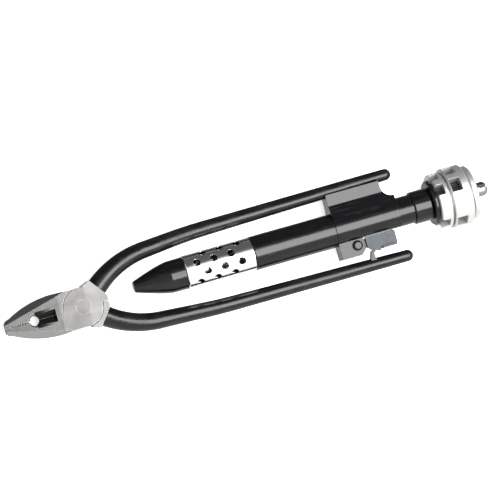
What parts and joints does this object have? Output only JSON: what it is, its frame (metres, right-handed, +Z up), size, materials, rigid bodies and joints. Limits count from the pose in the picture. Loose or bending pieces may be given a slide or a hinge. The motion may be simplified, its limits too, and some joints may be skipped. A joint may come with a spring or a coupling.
{
  "type": "safety wire twisting pliers",
  "caption": "Wire-twisting pliers with cutting jaws, two long handles, a latch, and a spring-return twister barrel turned by a pull knob.",
  "frame": {"origin": "where the joint's axis meets the flat underside of the head", "axes": "+X from the jaws to the knob along the tool, +Y towards the fixed upper handle, +Z up out of the head's top face"},
  "size_m": [0.2406, 0.0456, 0.0292],
  "materials": {
    "forged_steel": "ground and satin polished forging",
    "dipped_grip": "glossy dipped vinyl",
    "black_enamel": "gloss black enamel",
    "polished_sleeve": "polished",
    "satin_knob": "satin turned",
    "black_drum": "black oxide",
    "latch_plate": "gloss enamel",
    "machined_steel": "machined",
    "spring_steel": "drawn wire",
    "bearing_bronze": "turned"
  },
  "bodies": {
    "fixed_half": {"upper_handle": "forged_steel", "joint_rivet": "forged_steel", "upper_grip": "dipped_grip", "bracket_top": "black_enamel", "bracket_bottom": "black_enamel", "bracket_rivets": "machined_steel", "barrel_tube": "black_enamel", "nose_cap": "black_enamel", "vent_sleeve": "polished_sleeve", "barrel_collar": "black_enamel", "drive_nut": "machined_steel", "drive_pins": "machined_steel", "return_spring": "spring_steel", "latch_rivet": "black_enamel"},
    "moving_half": {"lower_handle": "forged_steel", "lower_grip": "dipped_grip", "catch_post": "black_enamel"},
    "latch": {"latch_lever": "latch_plate"},
    "spring_carrier": {"spring_seat": "machined_steel"},
    "spindle": {"spiral_spindle": "machined_steel", "spindle_stop": "machined_steel", "stop_pin": "machined_steel", "clutch_race": "machined_steel", "end_nut": "satin_knob"},
    "knob": {"knob_flange": "black_enamel", "clutch_drum": "black_drum", "clutch_rollers": "machined_steel", "thrust_washer": "bearing_bronze", "knob_shell": "satin_knob"}
  },
  "joints": [
    {"name": "handle_hinge", "type": "hinge", "parent": "fixed_half", "child": "moving_half", "pos_m": [0, 0, 0], "axis": [0, 0, -1], "range_deg": [0, 22]},
    {"name": "latch_swing", "type": "hinge", "parent": "fixed_half", "child": "latch", "pos_m": [0.1336, -0.0073, 0.005], "axis": [0, 0, -1], "range_deg": [0, 12]},
    {"name": "knob_pull", "type": "slide", "parent": "fixed_half", "child": "spring_carrier", "axis": [1, 0, 0], "range_m": [0, 0.06], "stiffness_N_per_m": 120, "springref_m": -0.03, "deforming": ["return_spring"]},
    {"name": "spindle_spin", "type": "hinge", "parent": "spring_carrier", "child": "spindle", "pos_m": [0, 0.0025, 0.005], "axis": [1, 0, 0], "range_deg": [0, 541]},
    {"name": "knob_swivel", "type": "hinge", "parent": "spindle", "child": "knob", "pos_m": [0, 0.0025, 0.005], "axis": [1, 0, 0], "continuous": true}
  ],
  "couplings": [
    {"joint": "spindle_spin", "follows": "knob_pull", "rad_per_m": 157.08}
  ]
}
